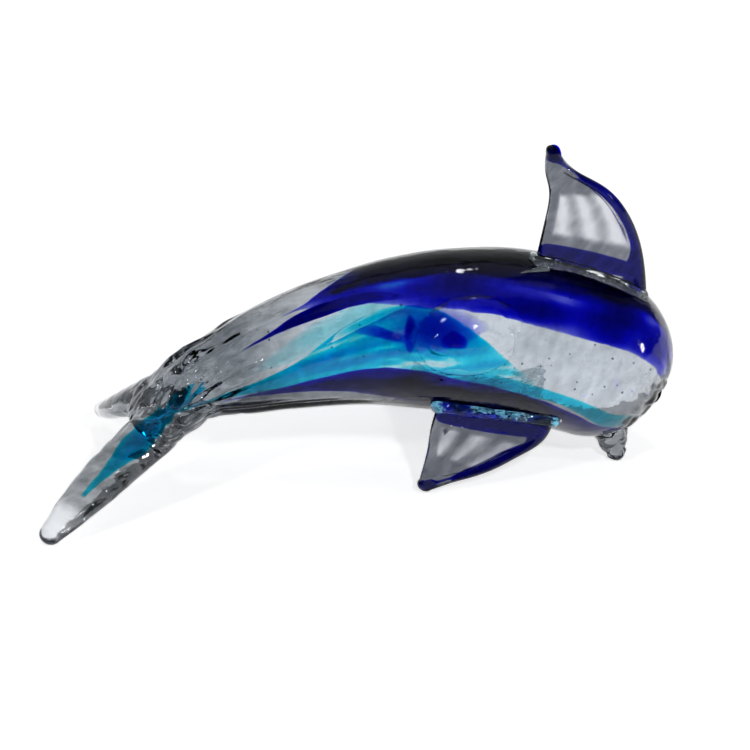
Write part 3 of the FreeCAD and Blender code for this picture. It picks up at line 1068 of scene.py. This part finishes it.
def foot_form(root, place, seed, wide, tall, lumpy):
    """Lumpy melted flange along the root line, wide across the fin and low."""
    line = outline(root, FOOT_COUNT)
    along = np.arange(FOOT_COUNT)
    swell = 1 + 0.10 * slow_wave(np.column_stack([line, line[:, 0] * 0]), 5.0, seed)
    ends = 1 + 0.10 * (1 - ramp(along, 0, 8)) + 0.10 * ramp(along, 54, 63)
    lumps = 0.6 * np.exp(-((along - 57) / 5.0) ** 2)
    rings_points, faces = tube(line, wide * swell * ends, (tall + lumps) * swell * ends, place, FOOT_COUNT)
    middle = rings_points.mean(0)
    marks = slow_wave(rings_points, 3.0, seed + 5) * 0.45
    marks += slow_wave(rings_points, 1.2, seed + 6) * 0.14
    away = rings_points - middle
    away /= np.linalg.norm(away, axis=1)[:, None]
    draw = np.random.default_rng(seed)
    bubbles = []
    for _ in range(FOOT_SEEDS):
        centre = np.array([*line[draw.integers(6, 62)], 0.0])
        centre = centre + draw.uniform(-1, 1, 3) * (0.3, 0.3, wide * 0.7)
        bubbles.append(seed_bubble(place(centre + (0, tall * 0.35, 0)), draw.uniform(0.2, 0.5)))
    lumps_and_dents = rings_points + away * (marks * lumpy - 0.25)[:, None]
    return joined((lumps_and_dents, faces), *bubbles[:int(FOOT_SEEDS * lumpy)])


print("length of the dorsal root line (mm):", round(math.dist(DORSAL_ROOT[0], DORSAL_ROOT[-1]), 1))

# %% [markdown]
# ## The three fins
# The dorsal fin and the near flipper are worked alike. The far flipper is seen only through
# the body, so it is smoother: its root is matt and carries no cobalt. A drip of glass was
# drawn out of the dorsal foot towards the tail and left there as a spike.

# %% Make the fins
SPIKE = [(53.0, -4.2, 65.8, 1.8, 1.4), (49.2, -6.0, 66.4, 0.9, 0.8), (44.6, -7.6, 66.6, 0.2, 0.2)]
DORSAL_SHAPE = (DORSAL_LEADING, DORSAL_TRAILING, DORSAL_ROOT, upright)
FLIPPER_SHAPE = (FLIPPER_LEADING, FLIPPER_TRAILING, FLIPPER_ROOT)


def make_fin(fin, seed, leading, trailing, root, place, thread, foot, lumpy, grey, melt, spike=None):
    """Blade, cobalt thread (thinnest, bead) and foot (wide, tall); a smooth fin is pale with a matt root."""
    edge_grey, root_frost = 0.45 + 0.5 * lumpy, 2.5 * (lumpy < 0.5)
    blade, blade_paint = blade_form(leading, trailing, place, grey, edge_grey, root_frost)
    make_piece(fin + "_pressed_blade", hugging(blade), fin_crystal, "clear_crystal", fin + "_blade",
               fuses=True, paint=blade_paint)
    make_piece(fin + "_cobalt_thread", thread_form(leading, trailing, place, *thread, lumpy > 0.5), cobalt,
               "cobalt_glass", fin + "_cobalt_rim")
    form = foot_form(root, place, seed, *foot, lumpy)
    if spike:
        form = joined(form, skin(pulled(spike, 24, 16)))
    make_piece(fin + "_melted_foot", hugging(form), melt, "clear_crystal", fin + "_foot",
               fuses=True, paint={"frost": [2.6 * (1.0 - lumpy)]})
    print(fin, "blade faces:", len(blade[1]), "foot faces:", len(form[1]))


NEAR_SHAPE = (*FLIPPER_SHAPE, splayed(-1, 6.5))
FAR_SHAPE = (*FLIPPER_SHAPE, splayed(1, 33.0))
make_fin("dorsal_fin", 3, *DORSAL_SHAPE, (0.85, 2.2), (4.2, 1.9), 1.0, 0.6, melted_crystal, SPIKE)
make_fin("right_flipper", 4, *NEAR_SHAPE, (1.3, 1.7), (3.0, 2.3), 1.0, 1.0, navy_melt)
make_fin("left_flipper", 5, *FAR_SHAPE, (0.9, 1.7), (2.6, 2.0), 0.1, 0.6, melted_crystal)

# %% [markdown]
# ## The flukes
# Both flukes were pulled out of the tail and parted with shears. The right one is long and
# its rounded tip rests on the table. Pincer marks run along them and fade to the tip,
# where a chipped, frosted end is left.

# %% Pulled and pinched flukes
RIGHT_FLUKE = [
    (-58.0, -2.0, 30.6, 10.0, 8.4),
    (-76.7, -12.0, 19.4, 9.4, 6.2),
    (-92.7, -22.0, 11.0, 8.0, 4.6),
    (-107.0, -32.6, 3.2, 3.9, 3.2),
]
LEFT_FLUKE = [
    (-57.0, 3.0, 31.0, 10.0, 8.2),
    (-71.5, 17.0, 20.0, 9.6, 5.4),
    (-77.6, 27.5, 11.4, 6.8, 4.0),
    (-80.7, 35.4, 6.2, 3.4, 3.0),
]


def fluke_form(stations, seed):
    """Form and painted traits of a fluke with pincer marks."""
    rings = pulled(stations, 110, 72)
    flat = rings.reshape(-1, 3)
    cells = pincer_cells(flat * (0.45, 0.45, 1.0), 5.5, seed).reshape(rings.shape[:2])
    along = np.linspace(1, 0, len(rings))[:, None]
    push = -(0.15 + 1.05 * along ** 1.5) * (1 - cells)
    chip = ramp(-along, -0.24, -0.17) * np.ones(rings.shape[1])
    # painted shade: the fluke is painted grey, paler at the frosted chip near its tip
    paint = {"shade": painted(0.85 - 0.9 * chip), "frost": painted(0.35 * chip)}
    return skin(ground_flat(ring_push(rings, push))), paint


for side, stations, seed in (("right", RIGHT_FLUKE, 12), ("left", LEFT_FLUKE, 15)):
    fluke, fluke_paint = fluke_form(stations, seed)
    make_piece(side + "_pulled_fluke", fluke, crystal, "clear_crystal", side + "_fluke",
               fuses=True, paint=fluke_paint)
    print(side, "fluke faces:", len(fluke[1]))

# %% [markdown]
# ## The streak in the right fluke
# The end of the turquoise was pulled out with the fluke. It is thickest just past the
# shears' cut and thins out to nothing.

# %% The turquoise streak
streak_rows = [
    (-54.0, -2.0, 33.6, 1.4, 1.4),
    (-66.0, -6.5, 27.0, 2.6, 1.6),
    (-76.0, -12.0, 20.4, 4.0, 1.9),
    (-85.0, -17.4, 15.4, 2.2, 1.2),
    (-95.0, -24.0, 10.2, 0.7, 0.6),
]
make_piece("fluke_turquoise_streak", skin(pulled(streak_rows, 60, 24)), turquoise,
           "aqua_glass", "aqua_fluke_streak")
print("streak stations:", len(streak_rows))

# %% [markdown]
# ## Fusing
# Hot glass that touches becomes one glass. Where a piece lies inside another, its faces
# get the seam finish, so that light isn't bent where no surface is left. A boolean union
# would do the same but loses the separate pieces.

# %% Mark the faces that lie inside a neighbour
def fuse_pieces():
    """Gives the seam finish to every face of a clear form that lies inside another."""
    trees = {name: BVHTree.FromPolygons(points.tolist(), faces) for name, (points, faces) in forms.items()}
    boxes = {name: (points.min(0), points.max(0)) for name, (points, _) in forms.items()}
    for name, (points, faces) in forms.items():
        mesh = pieces[name].data
        mesh.materials.append(seam)
        centres = np.array([points[list(face)].mean(0) for face in faces])
        hidden = np.zeros(len(faces), bool)
        for other, tree in trees.items():
            if other == name:
                continue
            low, high = boxes[other]
            for i in np.flatnonzero(((centres > low) & (centres < high)).all(1) & ~hidden):
                hidden[i] = lies_inside(tree, centres[i])
        mesh.polygons.foreach_set("material_index", hidden.astype(np.int32))
        print(f"{name}: {hidden.sum()} of {len(faces)} faces fused")


fuse_pieces()

# %% [markdown]
# ## The studio
# Clear glass shows what stands behind and below it, so the figurine stands on a sheet that
# glows softly, as a light table does, with a pale backdrop well behind. The rest of the
# room is dim and draws the dark lines along the edges.

# %% Light table and backdrop
def sheet(name, corners, finish):
    """A flat sheet of the studio, which isn't part of the figurine."""
    mesh = bpy.data.meshes.new(name)
    mesh.from_pydata(corners, [], [(0, 1, 2, 3)])
    mesh.materials.append(finish.material)
    piece = bpy.data.objects.new(name, mesh)
    bpy.context.scene.collection.objects.link(piece)


def pale_finish(name, low, high, glow):
    """Matt pale sheet with a faint drift of tone, lit from behind by a constant share."""
    finish = Finish(name)
    tone = finish.blend(finish.cloud(0.05), low, high)
    surface = finish.add("ShaderNodeBsdfPrincipled", {}, {
        "Base Color": tone,
        "Roughness": 0.6,
        "Specular IOR Level": 0.2,
        "Emission Color": tone,
        "Emission Strength": glow,
    })
    finish.feed(finish.output.inputs["Surface"], surface)
    return finish


table = pale_finish("pale_table", (0.90, 0.90, 0.90), (0.93, 0.93, 0.93), 0.76)
wall = pale_finish("pale_wall", (0.70, 0.71, 0.73), (0.74, 0.75, 0.77), 0.10)
table_corners = [(x, y, -0.0002) for x, y in ((-2.5, -2.5), (2.5, -2.5), (2.5, 2.5), (-2.5, 2.5))]
backdrop_corners = [(-2.6, 2.2, -0.0002), (2.6, 2.2, -0.0002), (2.6, 2.5, 2.3), (-2.6, 2.5, 2.3)]
sheet("table_top", table_corners, table)
sheet("backdrop", backdrop_corners, wall)
print("backdrop stands behind the figurine by (m):", backdrop_corners[0][1])

# %% [markdown]
# ## Lights
# One large soft light hangs overhead. The small ones are there only for their glints, so
# they are weak: strong ones would veil the colours with mirrored light.

# %% Lights
def softbox(name, place, target, size, power):
    """A soft rectangular light that faces its target; lengths in metres, power in watts."""
    light = bpy.data.lights.new(name, "AREA")
    light.shape = "RECTANGLE"
    light.size, light.size_y = size
    light.energy = power
    lamp = bpy.data.objects.new(name, light)
    lamp.location = place
    lamp.rotation_euler = (Vector(target) - Vector(place)).to_track_quat("-Z", "Y").to_euler()
    bpy.context.scene.collection.objects.link(lamp)


softbox("overhead", (0.0, 0.35, 1.4), (0, 0, 0), (2.0, 1.6), 3.0)
softbox("front_left", (-0.95, -0.55, 0.75), (0, 0, 0.03), (0.10, 0.14), 2.4)
softbox("front", (0.175, -0.79, 0.745), (0, 0, 0.03), (0.06, 0.08), 2.4)
softbox("back_rim", (0.25, 0.55, 1.00), (0, 0, 0.04), (0.07, 0.10), 0.7)
softbox("right_edge", (0.90, -0.30, 0.25), (0.04, 0, 0.03), (0.05, 0.14), 1.4)
print("lights:", len(bpy.data.lights))

world = bpy.data.worlds.new("studio_walls")
bpy.context.scene.world = world
world.use_nodes = True
world.node_tree.nodes["Background"].inputs["Color"].default_value = (0.55, 0.57, 0.60, 1)
world.node_tree.nodes["Background"].inputs["Strength"].default_value = 0.12

# %% [markdown]
# ## Camera
# The dolphin's right side is seen from a little above and a little behind. A long lens from
# far off keeps its nose and its tail at one scale. Glass in glass needs many bounces.

# %% Camera and colour
CAMERA_AZIMUTH, CAMERA_HEIGHT = math.radians(-10), math.radians(30)
CAMERA_DISTANCE, CAMERA_LENS, AIM_HEIGHT, BOUNCES = 1.950, 300, 30.6, 24
camera = bpy.data.objects.new("camera", bpy.data.cameras.new("camera"))
camera.data.lens = CAMERA_LENS
camera.data.sensor_width = 36
aim = Vector((origin + (0.0, 0.0, AIM_HEIGHT)) * MM)
level = math.cos(CAMERA_HEIGHT)
back = Vector((math.sin(CAMERA_AZIMUTH) * level, -math.cos(CAMERA_AZIMUTH) * level, math.sin(CAMERA_HEIGHT)))
camera.location = aim + back * CAMERA_DISTANCE
camera.rotation_euler = (-back).to_track_quat("-Z", "Y").to_euler()
bpy.context.scene.collection.objects.link(camera)
bpy.context.scene.camera = camera
bpy.context.scene.view_settings.view_transform = "Standard"
bpy.context.scene.cycles.max_bounces = BOUNCES
bpy.context.scene.cycles.transmission_bounces = BOUNCES
bpy.context.scene.cycles.transparent_max_bounces = BOUNCES
print("camera at (m):", [round(v, 3) for v in camera.location])
